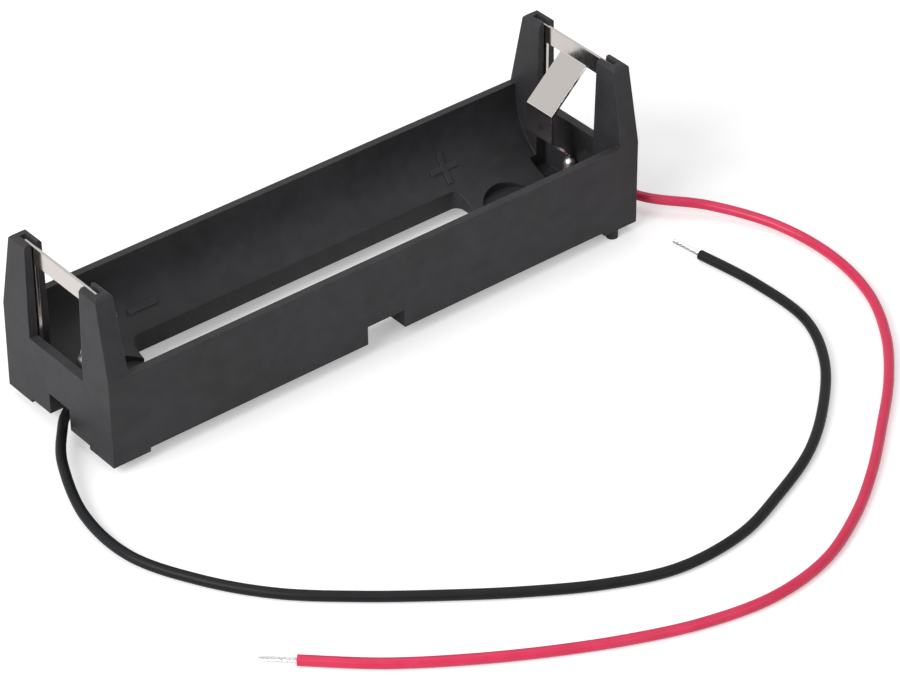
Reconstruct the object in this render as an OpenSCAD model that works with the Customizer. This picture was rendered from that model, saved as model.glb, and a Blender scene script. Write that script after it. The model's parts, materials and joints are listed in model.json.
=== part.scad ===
// Open holder for one cylindrical cell, with folded spring contacts and wire leads.
// Millimetres. X runs along the cell to the positive end, Z is up, the peg's tip is at z = 0.

/* [Cell] */
// Diameter of the cell
cell_d = 18.3; // [17.8:0.1:19.4]
// Length of the cell
cell_l = 65; // [62:0.5:69]
// Room between the cell and the trough, on the radius
cell_clear = 0.1; // [0.05:0.05:0.4]
// Room for the folded spring at each end of the cell
spring_room = 3.5; // [3.2:0.1:4.5]

/* [Trough] */
// Thickness of the side walls beside the cell
wall_t = 1.075; // [0.9:0.025:1.8]
// Thickness of the floor under the cell
floor_t = 0.825; // [0.7:0.025:1.6]
// How far the side walls rise above the cell's centre line
rim_rise = 0.9; // [0.4:0.1:2.4]
// How far each side wall leans in from bottom to top
draft = 0.11; // [0:0.01:0.3]
// Width of the long slot in the floor
slot_w = 10.7; // [8:0.1:12]
// Distance of the slot's left end from the middle
slot_left = 25.3; // [20:0.1:27]
// Distance of the slot's right end from the middle
slot_right = 23.6; // [18:0.1:25]
// Radius of the slot's corners
slot_r = 1.1; // [0.4:0.1:2]
// Radius of the round seats sunk in the floor
seat_r = 4.1; // [3:0.1:5]
// Distance of the round seats from the middle
seat_x = 28.5; // [27.5:0.1:30]
// Depth of the round seats below the trough
seat_depth = 0.15; // [0.05:0.05:0.4]

/* [Ends] */
// Thickness of the end structure, from the trough to the outer face
end_t = 2.75; // [2.6:0.05:4]
// Thickness of the low end wall outside the contact
lip_t = 1.15; // [0.8:0.05:1.2]
// Width of the window between two posts
window_w = 10.5; // [9:0.1:11.5]
// How far the window's sill lies below the cell's centre line
sill_drop = 1.45; // [0.5:0.05:3]
// How far the posts rise above the cell's centre line
post_rise = 10.95; // [9:0.05:13]
// Width across the tops of a pair of posts
post_top_w = 16.7; // [16.2:0.1:18]
// How far the posts' end faces lean in from the rim to the top
post_draft = 0.2; // [0:0.05:0.4]
// Chamfer round the posts' tops
post_chamfer = 0.35; // [0.1:0.05:0.6]
// Width of the wire's way out through the end wall
wire_gate_w = 4; // [3:0.1:6]
// Height of the wire's way out
wire_gate_h = 2.85; // [2.2:0.05:4]

/* [Base] */
// Height of the corner feet
foot_h = 0.525; // [0.3:0.025:1.5]
// Length of a corner foot
foot_l = 5.05; // [4:0.05:8]
// Width of a corner foot
foot_w = 4.65; // [3:0.05:5.5]
// Width of the notch under each side wall
notch_w = 5.5; // [3:0.1:10]
// Height of the notch under each side wall
notch_h = 2.45; // [1:0.05:2.6]
// Depth of the notch under each side wall
notch_depth = 3.6; // [2:0.1:4]
// Diameter of the locating peg
peg_d = 1.5; // [1:0.05:2.4]
// How far the peg stands out below the feet
peg_h = 1.2; // [0.6:0.05:2.5]
// Distance of the peg from the end face
peg_inset = 3.2; // [1.2:0.1:4]

/* [Contacts] */
// Thickness of the contact metal
contact_t = 0.35; // [0.25:0.05:0.5]
// Room round the contact in its grooves
contact_clear = 0.12; // [0.05:0.01:0.25]
// Height of the cross bar
bar_h = 2.35; // [1.8:0.05:3]
// How far the cross bar lies below the posts' tops
bar_drop = 0.4; // [0:0.05:0.8]
// Width across the contact's two legs
legs_w = 14.4; // [13:0.1:15]
// Width of one leg
leg_w = 2.3; // [1.8:0.05:2.6]
// How far the legs reach below the cell's centre line
leg_drop = 5.6; // [3:0.1:7]
// Width of the folded tongue
tongue_w = 4.6; // [3.5:0.1:6]
// How far each spring is pressed back by the cell
squeeze = 0.65; // [0.3:0.05:1.2]
// Height of the tongue's upper fold above the cell's centre line
nose_rise = 3.15; // [2:0.05:4.5]
// Height of the tongue's lower fold below the cell's centre line
nose_drop = 0.7; // [0.2:0.05:1.6]
// Radius inside the folds
fold_r = 0.35; // [0.2:0.05:0.8]
// Width of the solder tab
tab_w = 0.9; // [0.6:0.1:1.1]
// Height of the tab's top below the cell's centre line
tab_top_drop = 5.1; // [4:0.1:5.6]
// Length of the upright solder tab
tab_l = 2.1; // [1.4:0.1:2.4]

/* [Leads] */
// Diameter of the insulated wire
wire_d = 1.25; // [1:0.05:1.6]
// Diameter of the bare wire end
bare_d = 0.55; // [0.3:0.05:0.8]
// Length of the bare wire end
bare_l = 4.3; // [2:0.1:8]
// Diameter of the solder joint
solder_d = 1.4; // [1.2:0.05:2]
// Height of the solder joint
solder_h = 1.9; // [1.4:0.1:2.4]
// How far the solder reaches below the tab
solder_drop = 0.25; // [0.1:0.05:0.5]

/* [Hidden] */
$fn = 64;
cut = 1;
ring_sides = 8;
ring_pitch = 4.9;
fold_steps = 6;
// How far the grooves' mouths open, and how deep that opening goes
mouth_w = 1.1;
mouth_h = 0.55;

foot_z = peg_h;
base_z = foot_z + foot_h;
trough_r = cell_d / 2 + cell_clear;
axis_z = base_z + floor_t + trough_r;
floor_z = base_z + floor_t;
body_w = 2 * (trough_r + wall_t);
end_x = cell_l / 2 + spring_room;
body_l = 2 * (end_x + end_t);
rim_z = axis_z + rim_rise;
sill_z = axis_z - sill_drop;
post_z = axis_z + post_rise;
seat_z = floor_z - seat_depth;
lip_x = body_l / 2 - lip_t;
bar_x = lip_x - contact_clear - contact_t / 2;
bar_z = post_z - bar_drop;
leg_z = axis_z - leg_drop;
nose_x = cell_l / 2 - squeeze + contact_t / 2;
tab_z = axis_z - tab_top_drop;
tab_end_z = tab_z - tab_l;
joint_z = tab_end_z - solder_drop;
tab_x = bar_x - lip_t / 2;
peg_x = body_l / 2 - peg_inset;
peg_y = -(body_w - peg_d) / 2;

// Routes of the two leads from the solder joints to the bare ends
red_route = [
    [36.9, -0.1, 2.9], [38.5, -0.4, 2.35], [40.2, -2.1, 2.2], [42.3, -8.2, 2.1],
    [47.5, -14, 1.7], [51.5, -21.5, 1.1], [52.5, -30, 0.75], [50.5, -38.5, 0.66],
    [46, -46, 0.65], [40, -52.5, 0.65], [33.5, -58, 0.65], [26.5, -63.5, 0.65],
    [19.5, -68, 0.65], [11.5, -71.5, 0.65], [3, -72.5, 0.65], [-5.5, -71, 0.65],
    [-13.5, -68, 0.65], [-21.5, -64, 0.65], [-29, -59.5, 0.65], [-36, -54.5, 0.65],
    [-42.5, -48.5, 0.65]
];
black_route = [
    [-37, 0.3, 2.9], [-37.8, 0.2, 2.3], [-39.5, -1.5, 2.2],
    [-43, -6.5, 1.8], [-46, -15, 1.1], [-46, -23.5, 0.75], [-42.5, -31.5, 0.66],
    [-37.5, -38.5, 0.65], [-31, -44.5, 0.65], [-24, -50, 0.65], [-17, -55, 0.65],
    [-9.5, -59.5, 0.65], [-1.5, -62.5, 0.65], [7.5, -62.5, 0.65], [15.5, -60, 0.65],
    [23.5, -56.5, 0.65], [30.5, -51.5, 0.65], [37, -45, 0.65], [41, -37.5, 0.65],
    [41.5, -28.5, 0.65], [40.5, -20, 0.65]
];

function unit(v) = v / norm(v);
function leftOf(v) = [-v[1], v[0]];

// Rounds each inner corner of a path into an arc of the given radius
function cornerArc(a, b, c, r) =
    let(u = unit(a - b), v = unit(c - b), turn = 180 - acos(u * v),
        reach = r * tan(turn / 2), side = cross(b - a, c - b) > 0 ? 1 : -1,
        centre = b + u * reach - side * leftOf(u) * r, spoke = b + u * reach - centre)
    [for (k = [0 : fold_steps])
        let(w = side * turn * k / fold_steps)
        centre + [spoke[0] * cos(w) - spoke[1] * sin(w), spoke[0] * sin(w) + spoke[1] * cos(w)]];

function roundPath(path, r) = [
    path[0],
    for (i = [1 : len(path) - 2]) each cornerArc(path[i - 1], path[i], path[i + 1], r),
    path[len(path) - 1]
];

// One side of a strip that follows a path at a constant distance
function strip_side(path, d) = [
    for (i = [0 : len(path) - 1])
        let(a = unit(path[min(i + 1, len(path) - 1)] - path[min(i, len(path) - 2)]),
            b = unit(path[max(i, 1)] - path[max(i - 1, 0)]),
            m = unit(leftOf(a) + leftOf(b)))
        path[i] + m * d / (m * leftOf(a))
];

module strip(path, t) {
    inner = strip_side(path, t / 2);
    outer = strip_side(path, -t / 2);
    polygon(concat(inner, [for (i = [len(outer) - 1 : -1 : 0]) outer[i]]));
}

// A solid with its profile in the XZ plane, centred across Y
module alongY(w) {
    translate([0, w / 2, 0]) rotate([90, 0, 0]) linear_extrude(w) children();
}

// A solid with its profile in the YZ plane, centred on X
module alongX(l) {
    rotate([90, 0, 90]) translate([0, 0, -l / 2]) linear_extrude(l) children();
}

module fourCorners() {
    for (sx = [0, 1], sy = [0, 1]) mirror([sx, 0, 0]) mirror([0, sy, 0]) children();
}

module bothEnds() {
    for (sx = [0, 1]) mirror([sx, 0, 0]) children();
}

module bothSides() {
    for (sy = [0, 1]) mirror([0, sy, 0]) children();
}

module box(low, high) {
    translate(low) cube(high - low);
}

module sectionOutline() {
    half = body_w / 2;
    polygon([[-half, base_z], [half, base_z], [half - draft, rim_z], [draft - half, rim_z]]);
}

module troughOutline() {
    translate([0, axis_z]) {
        circle(trough_r, $fn = 128);
        translate([-trough_r, 0]) square([2 * trough_r, post_rise]);
    }
}

module post() {
    shoulder = body_w / 2 - draft;
    top = post_top_w / 2;
    inner_x = end_x + post_draft;
    outer_x = body_l / 2 - post_draft;
    intersection() {
        alongX(body_l) polygon([
            [window_w / 2, rim_z - cut], [shoulder, rim_z - cut], [shoulder, rim_z],
            [top, post_z - post_chamfer], [top - post_chamfer, post_z], [window_w / 2, post_z]
        ]);
        alongY(body_w) polygon([
            [end_x, rim_z - cut], [body_l / 2, rim_z - cut], [body_l / 2, rim_z],
            [outer_x, post_z - post_chamfer], [outer_x - post_chamfer, post_z],
            [inner_x + post_chamfer, post_z], [inner_x, post_z - post_chamfer], [end_x, rim_z]
        ]);
    }
}

module foot() {
    box([body_l / 2 - foot_l, body_w / 2 - foot_w, foot_z], [body_l / 2, body_w / 2, base_z + floor_t]);
}

module peg() {
    translate([peg_x, peg_y, 0]) cylinder(d = peg_d, h = base_z);
}

module floorSlot() {
    w = slot_w / 2 - slot_r;
    translate([0, 0, base_z - cut]) linear_extrude(axis_z - base_z) {
        for (x = [slot_r - slot_left, slot_right - slot_r], y = [-w, w]) translate([x, y]) circle(slot_r);
        translate([-slot_left, -w]) square([slot_left + slot_right, 2 * w]);
        translate([slot_r - slot_left, -slot_w / 2])
            square([slot_left + slot_right - 2 * slot_r, slot_w]);
    }
}

module contactSpace() {
    groove_y = legs_w / 2 + contact_clear;
    groove_x = bar_x - contact_t / 2 - contact_clear;
    mouth_x = (groove_x + lip_x) / 2;
    box([end_x - cut, -window_w / 2, seat_z], [lip_x, window_w / 2, post_z + cut]);
    box([lip_x - cut, -window_w / 2, sill_z], [body_l / 2 + cut, window_w / 2, post_z + cut]);
    box([groove_x, -groove_y, leg_z], [lip_x, groove_y, post_z + cut]);
    alongY(2 * groove_y) polygon([
        [groove_x, post_z - mouth_h], [lip_x, post_z - mouth_h],
        [mouth_x + mouth_w / 2, post_z + cut / 2], [mouth_x - mouth_w / 2, post_z + cut / 2]
    ]);
}

module wireGate() {
    box([end_x, -wire_gate_w / 2, base_z - cut], [body_l / 2 + cut, wire_gate_w / 2, base_z + wire_gate_h]);
}

module sideNotch() {
    box([-notch_w / 2, body_w / 2 - notch_depth, base_z - cut], [notch_w / 2, body_w / 2 + cut, base_z + notch_h]);
}

module housing() {
    color([0.2, 0.2, 0.21]) difference() {
        union() {
            alongX(body_l) sectionOutline();
            fourCorners() post();
            fourCorners() foot();
            peg();
        }
        alongX(2 * end_x) troughOutline();
        floorSlot();
        bothEnds() translate([seat_x, 0, seat_z]) cylinder(r = seat_r, h = axis_z - seat_z);
        bothEnds() contactSpace();
        bothEnds() wireGate();
        bothSides() sideNotch();
    }
}

module contactFrame() {
    half = legs_w / 2;
    low = bar_z - bar_h;
    translate([bar_x, 0, 0]) alongX(contact_t) polygon([
        [-half, leg_z], [leg_w - half, leg_z], [leg_w - half, low], [half - leg_w, low],
        [half - leg_w, leg_z], [half, leg_z], [half, bar_z], [-half, bar_z]
    ]);
}

module tongue() {
    bend_z = bar_z - bar_h;
    top = axis_z + nose_rise;
    low = axis_z - nose_drop;
    path = [[bar_x, bar_z - bar_h / 3], [bar_x, bend_z], [nose_x, top], [nose_x, low],
        [tab_x, tab_z], [tab_x, tab_end_z]];
    w = tongue_w / 2;
    s = tab_w / 2;
    intersection() {
        alongY(tongue_w) strip(roundPath(path, fold_r + contact_t / 2), contact_t);
        alongX(body_l) polygon([[-s, tab_end_z], [s, tab_end_z], [s, tab_z], [w, low], [w, bar_z],
            [-w, bar_z], [-w, low], [-s, tab_z]]);
    }
}

module contact() {
    contactFrame();
    tongue();
}

module positive_contact() {
    color([0.82, 0.8, 0.78]) contact();
}

module negative_contact() {
    color([0.82, 0.8, 0.78]) mirror([1, 0, 0]) contact();
}

module joint() {
    r = solder_d / 2;
    difference() {
        translate([tab_x, 0, joint_z]) rotate_extrude($fn = 32) polygon([
            [0, 0], [r - 0.08, 0], [r, solder_h / 4], [r, solder_h / 2],
            [0.8 * r, 0.8 * solder_h], [0.4 * r, solder_h], [0, solder_h]
        ]);
        tongue();
    }
}

module positive_joint() {
    color([0.85, 0.85, 0.86]) joint();
}

module negative_joint() {
    color([0.85, 0.85, 0.86]) mirror([1, 0, 0]) joint();
}

// Sweeps a round wire along a smooth curve through the route's points
function between(a, b, c, d, t) =
    0.5 * (2 * b + (c - a) * t + (2 * a - 5 * b + 4 * c - d) * t * t + (3 * b - a - 3 * c + d) * t * t * t);

function smoothRoute(p) = [
    for (i = [0 : len(p) - 2])
        let(n = ceil(norm(p[i + 1] - p[i]) / ring_pitch), a = p[max(i - 1, 0)], d = p[min(i + 2, len(p) - 1)])
        for (k = [0 : n - 1]) between(a, p[i], p[i + 1], d, k / n),
    p[len(p) - 1]
];

function heading(p, i) = unit(p[min(i + 1, len(p) - 1)] - p[max(i - 1, 0)]);

function normals(p, i, last, found) = i == len(p) ? found :
    let(t = heading(p, i), n = unit(last - (last * t) * t)) normals(p, i + 1, n, concat(found, [n]));

module lead(route, d) {
    p = smoothRoute(route);
    n = normals(p, 0, [0, 1, 0], []);
    points = [
        for (i = [0 : len(p) - 1])
            let(b = cross(heading(p, i), n[i]))
            for (k = [0 : ring_sides - 1])
                let(w = 360 * k / ring_sides) p[i] + (n[i] * cos(w) + b * sin(w)) * d / 2
    ];
    last = len(points) - ring_sides;
    polyhedron(points, concat(
        [[for (k = [0 : ring_sides - 1]) k]],
        [for (i = [0 : len(p) - 2], k = [0 : ring_sides - 1])
            let(a = i * ring_sides + k, b = i * ring_sides + (k + 1) % ring_sides)
            [a, a + ring_sides, b + ring_sides, b]],
        [[for (k = [ring_sides - 1 : -1 : 0]) last + k]]
    ));
}

module leadTip(route) {
    p = smoothRoute(route);
    t = heading(p, len(p) - 1);
    translate(p[len(p) - 1]) rotate([0, acos(t[2]), atan2(t[1], t[0])]) cylinder(d = bare_d, h = bare_l, $fn = 24);
}

red_path = concat([[tab_x, 0, joint_z], [tab_x, 0, joint_z - 0.7]], red_route);
black_path = concat([[-tab_x, 0, joint_z], [-tab_x, 0, joint_z - 0.7]], black_route);

module red_lead() {
    color([0.8, 0.15, 0.3]) lead(red_path, wire_d);
}

module black_lead() {
    color([0.1, 0.1, 0.11]) lead(black_path, wire_d);
}

module red_lead_tip() {
    color([0.8, 0.8, 0.8]) leadTip(red_path);
}

module black_lead_tip() {
    color([0.8, 0.8, 0.8]) leadTip(black_path);
}

housing();
negative_contact();
positive_contact();
negative_joint();
positive_joint();
black_lead();
red_lead();
black_lead_tip();
red_lead_tip();
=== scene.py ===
import json
import math
import random
import bmesh
import bpy
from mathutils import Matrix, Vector


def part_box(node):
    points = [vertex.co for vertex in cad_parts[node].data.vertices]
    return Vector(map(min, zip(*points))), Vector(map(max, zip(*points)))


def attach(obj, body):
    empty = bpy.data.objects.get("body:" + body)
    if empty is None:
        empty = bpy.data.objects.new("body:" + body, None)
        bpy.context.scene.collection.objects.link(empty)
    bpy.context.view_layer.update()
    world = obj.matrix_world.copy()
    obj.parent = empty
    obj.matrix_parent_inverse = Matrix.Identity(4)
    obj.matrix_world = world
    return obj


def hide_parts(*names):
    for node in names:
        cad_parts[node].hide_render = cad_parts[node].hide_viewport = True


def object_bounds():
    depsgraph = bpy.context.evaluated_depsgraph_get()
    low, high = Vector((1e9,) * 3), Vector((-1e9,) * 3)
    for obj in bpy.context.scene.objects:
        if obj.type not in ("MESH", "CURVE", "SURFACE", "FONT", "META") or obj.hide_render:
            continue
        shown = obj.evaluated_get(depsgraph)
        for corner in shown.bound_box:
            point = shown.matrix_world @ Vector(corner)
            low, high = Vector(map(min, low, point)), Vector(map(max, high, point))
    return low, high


# Looks of the cylindrical cell holder: finishes, polarity signs, leads, solder and studio.
# Everything is in metres in the frame's own axes.
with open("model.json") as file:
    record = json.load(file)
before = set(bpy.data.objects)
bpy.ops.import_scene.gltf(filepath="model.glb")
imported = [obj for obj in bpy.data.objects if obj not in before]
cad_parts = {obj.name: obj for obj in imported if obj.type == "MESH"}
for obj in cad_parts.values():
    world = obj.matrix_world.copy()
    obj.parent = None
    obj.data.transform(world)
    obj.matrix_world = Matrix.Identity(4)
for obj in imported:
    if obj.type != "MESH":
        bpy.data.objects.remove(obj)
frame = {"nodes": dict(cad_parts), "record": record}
cadLow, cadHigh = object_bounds()
nodes = frame["nodes"]
mm = 0.001
print("frame loaded with", len(nodes), "nodes")


cameraView = {
    "azimuth": -39.42,  # degrees round the holder, 0 looks along +Y
    "elevation": 35.67,  # degrees above the floor
    "distance": 0.4463,
    "aim": (0.0091, -0.0108, -0.0024),
    "lens": 151.35,
}


def makeCamera(view):
    around, above = math.radians(view["azimuth"]), math.radians(view["elevation"])
    back = Vector((math.sin(around) * math.cos(above), -math.cos(around) * math.cos(above), math.sin(above)))
    data = bpy.data.cameras.new("camera")
    data.lens = view["lens"]
    data.clip_start, data.clip_end = 0.01, 20
    camera = bpy.data.objects.new("camera", data)
    camera.location = Vector(view["aim"]) + back * view["distance"]
    camera.rotation_mode = "QUATERNION"
    camera.rotation_quaternion = (-back).to_track_quat("-Z", "Y")
    bpy.context.scene.collection.objects.link(camera)
    bpy.context.scene.camera = camera


makeCamera(cameraView)
print("camera placed")


class Wire:
    # one socket of a material's nodes; sums with it add Math nodes
    def __init__(self, socket):
        self.socket = socket

    def sum(self, operation, first, second):
        tree = self.socket.id_data
        made = tree.nodes.new("ShaderNodeMath")
        made.operation = operation
        for slot, value in zip(made.inputs, (first, second)):
            plug(tree, slot, value)
        return Wire(made.outputs[0])

    def __add__(self, other):
        return self.sum("ADD", self, other)

    def __radd__(self, other):
        return self.sum("ADD", other, self)

    def __sub__(self, other):
        return self.sum("SUBTRACT", self, other)

    def __rsub__(self, other):
        return self.sum("SUBTRACT", other, self)

    def __mul__(self, other):
        return self.sum("MULTIPLY", self, other)

    def __rmul__(self, other):
        return self.sum("MULTIPLY", other, self)

    def __truediv__(self, other):
        return self.sum("DIVIDE", self, other)


def plug(tree, slot, value):
    if isinstance(value, Wire):
        tree.links.new(value.socket, slot)
    elif isinstance(value, (tuple, list)) and len(value) == 3 and slot.type == "RGBA":
        slot.default_value = (*value, 1)
    else:
        slot.default_value = value


class Finish:
    def __init__(self, name, owner=None):
        self.owner = owner or bpy.data.materials.new(name)
        self.owner.use_nodes = True
        self.tree = self.owner.node_tree
        self.tree.nodes.clear()

    def node(self, kind, settings=None, values=None, out=0):
        made = self.tree.nodes.new("ShaderNode" + kind)
        for key, setting in (settings or {}).items():
            if key == "stops":
                ramp = made.color_ramp
                while len(ramp.elements) < len(setting):
                    ramp.elements.new(1)
                for element, (spot, shade) in zip(ramp.elements, setting):
                    element.position = spot
                    element.color = (*shade, 1) if isinstance(shade, tuple) else (shade, shade, shade, 1)
            else:
                setattr(made, key, setting)
        for key, value in (values or {}).items():
            plug(self.tree, made.inputs[key], value)
        return Wire(made.outputs[out]) if len(made.outputs) else None

    def noise(self, place, size, detail=2, rough=0.5):
        values = {"Vector": place, "Scale": 1 / size, "Detail": detail, "Roughness": rough}
        return self.node("TexNoise", None, values)

    def ramp(self, value, stops):
        return self.node("ValToRGB", {"stops": stops}, {"Fac": value})

    def blend(self, mask, first, second):
        return self.node("Mix", {"data_type": "RGBA"}, {0: mask, 6: first, 7: second}, 2)

    def stretched(self, place, scale):
        return self.node("Mapping", None, {"Vector": place, "Scale": scale})

    def bump(self, height, depth, strength=1, normal=None):
        values = {"Height": height, "Distance": depth, "Strength": strength}
        if normal:
            values["Normal"] = normal
        return self.node("Bump", None, values)

    def surface(self, values):
        shader = self.node("BsdfPrincipled", None, values)
        self.node("OutputMaterial", None, {"Surface": shader})
        return self.owner


# lengths below are feature sizes; colours are linear red, green, blue
plasticLook = {
    "colour": (0.029, 0.0275, 0.0305),
    # painted edge highlight, partly burnished wear: pale colour laid along the edges
    "paleEdgeWearAndHighlight": (0.115, 0.110, 0.116),
    "edgeRadius": 0.14 * mm,
    "grain": 0.3 * mm,  # spark-eroded mould texture
    "grainDepth": 0.014 * mm,
    "cloud": 7 * mm,  # size of the broad light and dark areas
    "patch": 1.8 * mm,
    # size of the noise that breaks up the painted edge highlight and wear
    "wearAndHighlightBreakup": 0.9 * mm,
    "roughness": 0.52,
    "gloss": 0.3,
}


def mouldedPlastic(look):
    finish = Finish("mouldedPlastic")
    place = finish.node("TexCoord", out="Object")
    soft = finish.node("Bevel", {"samples": 6}, {"Radius": look["edgeRadius"]})
    flat = finish.node("NewGeometry", out="Normal")
    facing = finish.node("VectorMath", {"operation": "DOT_PRODUCT"}, {0: soft, 1: flat}, "Value")
    edge = finish.ramp(1 - facing, [(0.01, 0), (0.25, 1)])
    grain = finish.noise(place, look["grain"], 3, 0.6)
    cloud = finish.noise(place, look["cloud"], 3, 0.55)
    wearAndHighlightBreakup = finish.noise(place, look["wearAndHighlightBreakup"])
    patch = finish.noise(place, look["patch"])
    tone = finish.ramp(0.6 * cloud + 0.4 * patch, [(0.34, 0.76), (0.66, 1.24)])
    colour = finish.node("Mix", {"data_type": "RGBA", "blend_type": "MULTIPLY"},
                         {0: 1, 6: look["colour"], 7: tone}, 2)
    # edges painted paler: a painted highlight along the rims, partly burnished wear, broken up by noise
    colour = finish.blend(edge * wearAndHighlightBreakup, colour, look["paleEdgeWearAndHighlight"])
    normal = finish.bump(grain + 1.5 * patch, look["grainDepth"], 1, soft)
    return finish.surface({
        "Base Color": colour,
        "Roughness": look["roughness"] + 0.16 * (cloud - 0.5) + 0.12 * (grain - 0.5) - 0.12 * edge,
        "Specular IOR Level": look["gloss"],
        "Normal": normal,
    })


metalLook = {
    "colour": (0.72, 0.68, 0.65),
    "heatTint": (0.30, 0.235, 0.20),
    "tintTop": 8.5 * mm,  # soldering heat has stained the strip below this height
    "tintBottom": 5.5 * mm,
    "roughness": 0.13,
    "drawn": 0.06 * mm,  # fine lines from the rolling of the strip
    "drawnDepth": 0.0012 * mm,
    "cloud": 2.2 * mm,
    "scuff": 0.25 * mm,
    "edgeRadius": 0.05 * mm,
}


def springStrip(look):
    finish = Finish("springStrip")
    place = finish.node("TexCoord", out="Object")
    height = finish.node("SeparateXYZ", None, {"Vector": place}, "Z")
    drawn = finish.noise(finish.stretched(place, (1, 0.03, 1)), look["drawn"], 3, 0.6)
    cloud = finish.noise(place, look["cloud"], 3, 0.6)
    scuff = finish.noise(finish.stretched(place, (0.2, 1, 0.2)), look["scuff"])
    stain = (look["tintTop"] - height) / (look["tintTop"] - look["tintBottom"])
    stain = finish.node("Clamp", None, {"Value": stain}) * (0.5 + 0.6 * cloud)
    colour = finish.blend(stain, look["colour"], look["heatTint"])
    soft = finish.node("Bevel", {"samples": 4}, {"Radius": look["edgeRadius"]})
    return finish.surface({
        "Base Color": colour,
        "Metallic": 1,
        "Roughness": look["roughness"] + 0.12 * (cloud - 0.5) + 0.1 * (scuff - 0.5) + 0.2 * stain,
        "Normal": finish.bump(drawn, look["drawnDepth"], 0.6, soft),
    })


def brightSolder():
    finish = Finish("brightSolder")
    place = finish.node("TexCoord", out="Object")
    ripple = finish.noise(place, 0.5 * mm, 2, 0.5)
    crystals = finish.noise(place, 0.08 * mm, 3, 0.6)
    return finish.surface({
        "Base Color": finish.ramp(ripple, [(0.3, (0.80, 0.80, 0.81)), (0.7, (0.93, 0.93, 0.94))]),
        "Metallic": 1,
        "Roughness": 0.24 + 0.16 * crystals,
        "Normal": finish.bump(ripple, 0.05 * mm, 0.6),
    })


def wireInsulation(name, colour, pale, roughness, gloss):
    finish = Finish(name)
    place = finish.node("TexCoord", out="Object")
    cloud = finish.noise(place, 3 * mm, 2)
    dust = finish.noise(place, 0.22 * mm, 3, 0.6)
    mask = finish.ramp(cloud + 0.4 * (dust - 0.5), [(0.35, 0), (0.75, 1)])
    return finish.surface({
        "Base Color": finish.blend(mask, colour, pale),
        "Roughness": roughness + 0.14 * (dust - 0.5) + 0.1 * (cloud - 0.5),
        "Specular IOR Level": gloss,
        "Normal": finish.bump(cloud + 0.25 * dust, 0.02 * mm, 0.5),
    })


def tinnedStrand():
    finish = Finish("tinnedStrand")
    place = finish.node("TexCoord", out="Object")
    cloud = finish.noise(place, 0.4 * mm, 3)
    return finish.surface({
        "Base Color": finish.ramp(cloud, [(0.3, (0.62, 0.60, 0.58)), (0.7, (0.86, 0.85, 0.84))]),
        "Metallic": 1,
        "Roughness": 0.2 + 0.2 * cloud,
        "Normal": finish.bump(cloud, 0.01 * mm, 0.5),
    })


materials = {
    "plastic": mouldedPlastic(plasticLook),
    "metal": springStrip(metalLook),
    "solder": brightSolder(),
    "red": wireInsulation("redInsulation", (0.66, 0.020, 0.080), (0.72, 0.032, 0.105), 0.36, 0.45),
    "black": wireInsulation(
        "blackInsulation", (0.006, 0.0065, 0.0075), (0.010, 0.0105, 0.012), 0.44, 0.2),
    "strand": tinnedStrand(),
}


def dress(name, material):
    for slot in nodes[name].material_slots:
        slot.material = material


dress("housing", materials["plastic"])
dress("negative_contact", materials["metal"])
dress("positive_contact", materials["metal"])
print("finishes made")


def makePiece(name, shape, material):
    mesh = bpy.data.meshes.new(name)
    shape.to_mesh(mesh)
    shape.free()
    mesh.materials.append(material)
    piece = bpy.data.objects.new(name, mesh)
    bpy.context.scene.collection.objects.link(piece)
    for face in mesh.polygons:
        face.use_smooth = True
    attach(piece, "root")
    return piece


def boxOf(node):
    low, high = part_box(node)
    return Vector(low), Vector(high)


leads = {
    "diameter": 1.25 * mm,
    "step": 0.5 * mm,
    "drop": 0.7 * mm,  # straight down out of the solder before the route begins
    "bare": 4.3 * mm,
    "bareDiameter": 0.55 * mm,
}

redRoute = [
    (0.0369, -0.0001, 0.0029), (0.0385, -0.0004, 0.00235), (0.0402, -0.0021, 0.0022),
    (0.0423, -0.0082, 0.0021), (0.0475, -0.0140, 0.0017), (0.0515, -0.0215, 0.0011),
    (0.0525, -0.0300, 0.00075), (0.0505, -0.0385, 0.00066), (0.0460, -0.0460, 0.00065),
    (0.0400, -0.0525, 0.00065), (0.0335, -0.0580, 0.00065), (0.0265, -0.0635, 0.00065),
    (0.0195, -0.0680, 0.00065), (0.0115, -0.0715, 0.00065), (0.0030, -0.0725, 0.00065),
    (-0.0055, -0.0710, 0.00065), (-0.0135, -0.0680, 0.00065), (-0.0215, -0.0640, 0.00065),
    (-0.0290, -0.0595, 0.00065), (-0.0360, -0.0545, 0.00065), (-0.0425, -0.0485, 0.00065),
]
blackRoute = [
    (-0.0370, 0.0003, 0.0029), (-0.0378, 0.0002, 0.0023), (-0.0395, -0.0015, 0.0022),
    (-0.0430, -0.0065, 0.0018), (-0.0460, -0.0150, 0.0011), (-0.0460, -0.0235, 0.00075),
    (-0.0425, -0.0315, 0.00066), (-0.0375, -0.0385, 0.00065), (-0.0310, -0.0445, 0.00065),
    (-0.0240, -0.0500, 0.00065), (-0.0170, -0.0550, 0.00065), (-0.0095, -0.0595, 0.00065),
    (-0.0015, -0.0625, 0.00065), (0.0075, -0.0625, 0.00065), (0.0155, -0.0600, 0.00065),
    (0.0235, -0.0565, 0.00065), (0.0305, -0.0515, 0.00065), (0.0370, -0.0450, 0.00065),
    (0.0410, -0.0375, 0.00065), (0.0415, -0.0285, 0.00065), (0.0405, -0.0200, 0.00065),
]


def between(a, b, c, d, t):
    bend = (2 * a - 5 * b + 4 * c - d) * t * t
    twist = (3 * b - a - 3 * c + d) * t ** 3
    return 0.5 * (2 * b + (c - a) * t + bend + twist)


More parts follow.
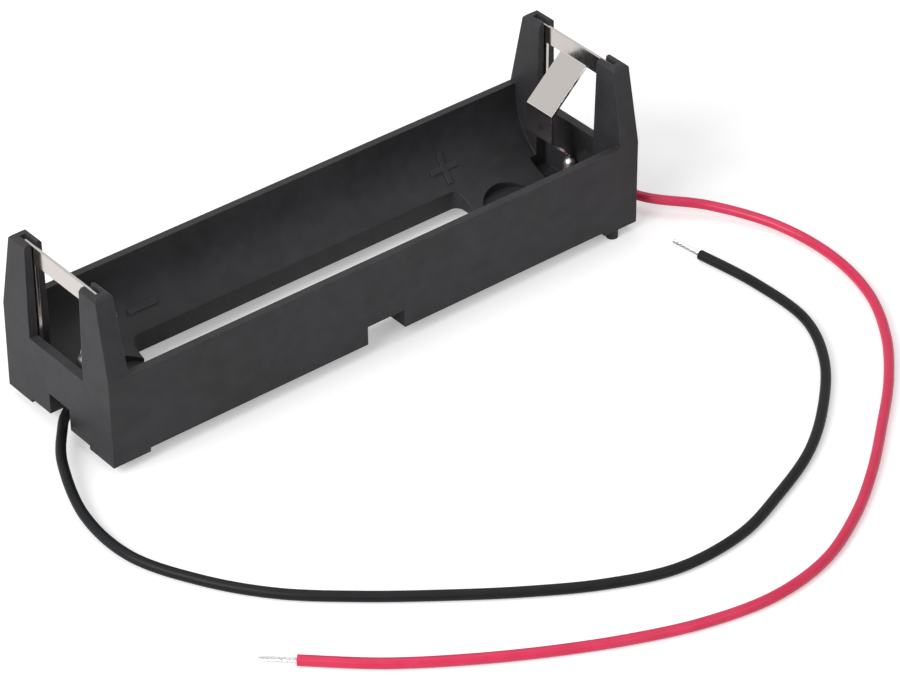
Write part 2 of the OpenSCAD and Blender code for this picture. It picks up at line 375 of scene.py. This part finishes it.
def smoothRoute(route, step):
    points, last = [], len(route) - 1
    for i in range(last):
        count = max(1, math.ceil((route[i + 1] - route[i]).length / step))
        before, after = route[max(i - 1, 0)], route[min(i + 2, last)]
        points += [between(before, route[i], route[i + 1], after, k / count) for k in range(count)]
    return points + [route[last]]


strands = {
    "round": 6,  # and one more in the middle
    "share": 6.2,  # bare diameters in one strand's radius
    "sides": 10,
    "rings": 60,
    "turns": 1.35,
    "uneven": 0.07,  # most that a strand is cut short, as a share
    "loose": 0.12,
    "waves": 5,
    "cutTaper": 0.6,
}


def twistedEnd(name, start, heading, replaced):
    random.seed(name)
    strandRadius = leads["bareDiameter"] / strands["share"]
    spread = leads["bareDiameter"] / 2 - strandRadius
    side = heading.cross(Vector((0, 0, 1))).normalized()
    up = side.cross(heading)
    shape = bmesh.new()
    sides, rings, turns = strands["sides"], strands["rings"], strands["turns"]
    for strand in range(strands["round"] + 1):
        reach = leads["bare"] * (1 - random.uniform(0.0, strands["uneven"]))
        offset = spread if strand else 0
        lastRing = None
        for ring in range(rings + 1):
            along = reach * ring / rings
            turn = 2 * math.pi * (strand / strands["round"] + turns * along / leads["bare"])
            loose = 1 - strands["loose"] * math.sin(strands["waves"] * along / leads["bare"] + strand)
            centre = start + heading * along + (side * math.cos(turn) + up * math.sin(turn)) * offset * loose
            taper = 1 if ring < rings else strands["cutTaper"]
            circle = []
            for k in range(sides):
                angle = 2 * math.pi * k / sides
                circle.append(shape.verts.new(
                    centre + (side * math.cos(angle) + up * math.sin(angle)) * strandRadius * taper))
            if lastRing:
                for k in range(sides):
                    after = (k + 1) % sides
                    shape.faces.new((lastRing[k], lastRing[after], circle[after], circle[k]))
            else:
                shape.faces.new(circle[::-1])
            lastRing = circle
        shape.faces.new(lastRing)
    bmesh.ops.recalc_face_normals(shape, faces=shape.faces)
    piece = makePiece(name, shape, materials["strand"])
    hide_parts(replaced)
    return piece


def makeLead(name, node, joint, route, material):
    low, high = boxOf(joint)
    middle = (low + high) / 2
    start = Vector((middle.x, middle.y, low.z))
    corners = [start, start - Vector((0, 0, leads["drop"]))] + [Vector(point) for point in route]
    points = smoothRoute(corners, leads["step"])
    data = bpy.data.curves.new(name, "CURVE")
    data.dimensions = "3D"
    data.bevel_depth = leads["diameter"] / 2
    data.bevel_resolution = 5
    data.use_fill_caps = True
    spline = data.splines.new("POLY")
    spline.points.add(len(points) - 1)
    for spot, point in zip(spline.points, points):
        spot.co = (*point, 1)
    spline.use_smooth = True
    data.materials.append(material)
    lead = bpy.data.objects.new(name, data)
    bpy.context.scene.collection.objects.link(lead)
    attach(lead, "root")
    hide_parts(node)
    heading = (points[-1] - points[-2]).normalized()
    end = twistedEnd(name + "Strands", points[-1], heading, node + "_tip")
    return lead


makeLead("redLead", "red_lead", "positive_joint", redRoute, materials["red"])
makeLead("blackLead", "black_lead", "negative_joint", blackRoute, materials["black"])
print("leads laid")


bead = {
    "rings": 28,
    "sides": 40,
    "wider": 1.14,  # than the plain joint
    "leans": 0.16 * mm,  # off the tab's middle
    "squareness": 2.4,  # 2 would be an egg
    "ripple": 0.04,
}


def makeBead(name, node):
    low, high = boxOf(node)
    middle = (low + high) / 2
    radius, height = bead["wider"] * (high.x - low.x) / 2, high.z - low.z
    shape = bmesh.new()
    circles = []
    for ring in range(bead["rings"] + 1):
        t = ring / bead["rings"]
        # a plump barrel with round ends
        width = (1 - abs(2 * t - 1) ** bead["squareness"]) ** 0.5
        circle = []
        for k in range(bead["sides"]):
            angle = 2 * math.pi * k / bead["sides"]
            wobble = 1 - bead["ripple"] * (1 + math.sin(2 * angle + 3 * t)) / 2
            circle.append(shape.verts.new((
                middle.x + radius * width * wobble * math.cos(angle),
                middle.y - bead["leans"] + radius * width * wobble * math.sin(angle),
                low.z + height * t)))
        circles.append(circle)
    for lower, upper in zip(circles, circles[1:]):
        for k in range(bead["sides"]):
            after = (k + 1) % bead["sides"]
            shape.faces.new((lower[k], lower[after], upper[after], upper[k]))
    bmesh.ops.remove_doubles(shape, verts=shape.verts, dist=0.001 * mm)
    bmesh.ops.recalc_face_normals(shape, faces=shape.faces)
    piece = makePiece(name, shape, materials["solder"])
    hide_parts(node)


makeBead("positiveSolder", "positive_joint")
makeBead("negativeSolder", "negative_joint")
print("solder made")


signs = {
    "troughRadius": 9.25 * mm,
    "raised": 0.22 * mm,
    "sunk": 0.04 * mm,
    "bar": 0.75 * mm,
    "minusAt": -22.0 * mm,
    "minusAngle": 37.6,  # degrees below the cell's centre line
    "minusLength": 4.2 * mm,
    "plusAt": 23.1 * mm,
    "plusAngle": 36.1,
    "plusLength": 4.1 * mm,
    "grid": 0.25 * mm,
    "edgeRadius": 0.04 * mm,
    "sharpest": 50,  # degrees; bends past this are rounded
}


def signPiece(name, at, angle, bars):
    # bars are (half length along the cell, half length round the trough)
    cellAxis = next(m for m in frame["record"]["mounts"] if m["name"] == "cell_bay")["pos_m"][2]
    wall = signs["troughRadius"]
    cuts = [sorted({s * bar[i] for bar in bars for s in (-1, 1)}) for i in (0, 1)]
    lines = []
    for marks in cuts:
        line = []
        for a, b in zip(marks, marks[1:]):
            count = max(1, round((b - a) / signs["grid"]))
            line += [a + (b - a) * k / count for k in range(count)]
        lines.append(line + [marks[-1]])
    shape = bmesh.new()
    spots = {}

    def corner(i, j):
        if (i, j) not in spots:
            spots[i, j] = shape.verts.new((lines[0][i], lines[1][j], 0))
        return spots[i, j]

    for i in range(len(lines[0]) - 1):
        for j in range(len(lines[1]) - 1):
            u, v = (lines[0][i] + lines[0][i + 1]) / 2, (lines[1][j] + lines[1][j + 1]) / 2
            if any(abs(u) < bar[0] and abs(v) < bar[1] for bar in bars):
                square = (corner(i, j), corner(i + 1, j), corner(i + 1, j + 1), corner(i, j + 1))
                shape.faces.new(square)
    top = bmesh.ops.extrude_face_region(shape, geom=shape.faces[:])["geom"]
    for vert in [item for item in top if isinstance(item, bmesh.types.BMVert)]:
        vert.co.z = signs["raised"] + signs["sunk"]
    for vert in shape.verts:
        turn = math.radians(-angle) - vert.co.y / wall
        reach = wall + signs["sunk"] - vert.co.z
        vert.co = (at + vert.co.x, reach * math.cos(turn), cellAxis + reach * math.sin(turn))
    bmesh.ops.recalc_face_normals(shape, faces=shape.faces)
    piece = makePiece(name, shape, materials["plastic"])
    for face in piece.data.polygons:
        face.use_smooth = False
    rounding = piece.modifiers.new("rounding", "BEVEL")
    rounding.width = signs["edgeRadius"]
    rounding.segments = 2
    rounding.limit_method = "ANGLE"
    rounding.angle_limit = math.radians(signs["sharpest"])


half = signs["bar"] / 2
signPiece("minusSign", signs["minusAt"], signs["minusAngle"], [(signs["minusLength"] / 2, half)])
signPiece("plusSign", signs["plusAt"], signs["plusAngle"],
          [(signs["plusLength"] / 2, half), (half, signs["plusLength"] / 2)])
print("signs raised")


studio = {
    "floorSize": 6,
    "floorColour": (0.90, 0.90, 0.90),
    "floorLift": 0.34,  # what the camera sees above the floor's own light
    "floorMirrored": 0.1,  # and what shiny metal sees
    "worldLight": 0.26,
    "worldMirrored": 0.75,  # what shiny metal sees of the studio's walls
}


def makeFloor():
    shape = bmesh.new()
    bmesh.ops.create_grid(shape, x_segments=1, y_segments=1, size=studio["floorSize"] / 2)
    mesh = bpy.data.meshes.new("floor")
    shape.to_mesh(mesh)
    shape.free()
    floor = bpy.data.objects.new("floor", mesh)
    floor.location.z = cadLow.z
    bpy.context.scene.collection.objects.link(floor)
    finish = Finish("paleFloor")
    seen = finish.node("LightPath", out="Is Camera Ray")
    mirrored = finish.node("LightPath", out="Is Glossy Ray")
    matte = finish.node("BsdfDiffuse", None, {"Color": studio["floorColour"]})
    lift = finish.node("Emission", None, {
        "Color": (1, 1, 1), "Strength": studio["floorLift"] * seen + studio["floorMirrored"] * mirrored})
    both = finish.node("AddShader", None, {0: matte, 1: lift})
    finish.node("OutputMaterial", None, {"Surface": both})
    mesh.materials.append(finish.owner)


def makeWorld():
    world = bpy.data.worlds.new("studio")
    bpy.context.scene.world = world
    sky = Finish("studio", world)
    seen = sky.node("LightPath", out="Is Camera Ray")
    mirrored = sky.node("LightPath", out="Is Glossy Ray")
    plain = studio["worldLight"]
    strength = seen * (1 - plain) + mirrored * (studio["worldMirrored"] - plain) + plain
    light = sky.node("Background", None, {"Color": (1, 1, 1), "Strength": strength})
    sky.node("OutputWorld", None, {"Surface": light})


def softbox(name, place, aim, size, watts):
    data = bpy.data.lights.new(name, "AREA")
    data.shape = "RECTANGLE"
    data.size, data.size_y = size
    data.energy = watts
    lamp = bpy.data.objects.new(name, data)
    lamp.location = place
    lamp.rotation_mode = "QUATERNION"
    lamp.rotation_quaternion = (Vector(aim) - Vector(place)).to_track_quat("-Z", "Y")
    bpy.context.scene.collection.objects.link(lamp)


# where each lamp stands, its size and its watts
lamps = {
    "keyLeft": ((-0.55, -0.05, 0.40), (0.5, 0.4), 3.8),
    "fillFront": ((0.10, -0.60, 0.45), (0.6, 0.4), 0.9),
    "top": ((0.05, 0.15, 0.75), (0.6, 0.6), 1.3),
}

makeFloor()
makeWorld()
for lamp, (place, size, watts) in lamps.items():
    softbox(lamp, place, (0, 0, 0.01), size, watts)
bpy.context.scene.view_settings.view_transform = "Standard"
print("studio lit")
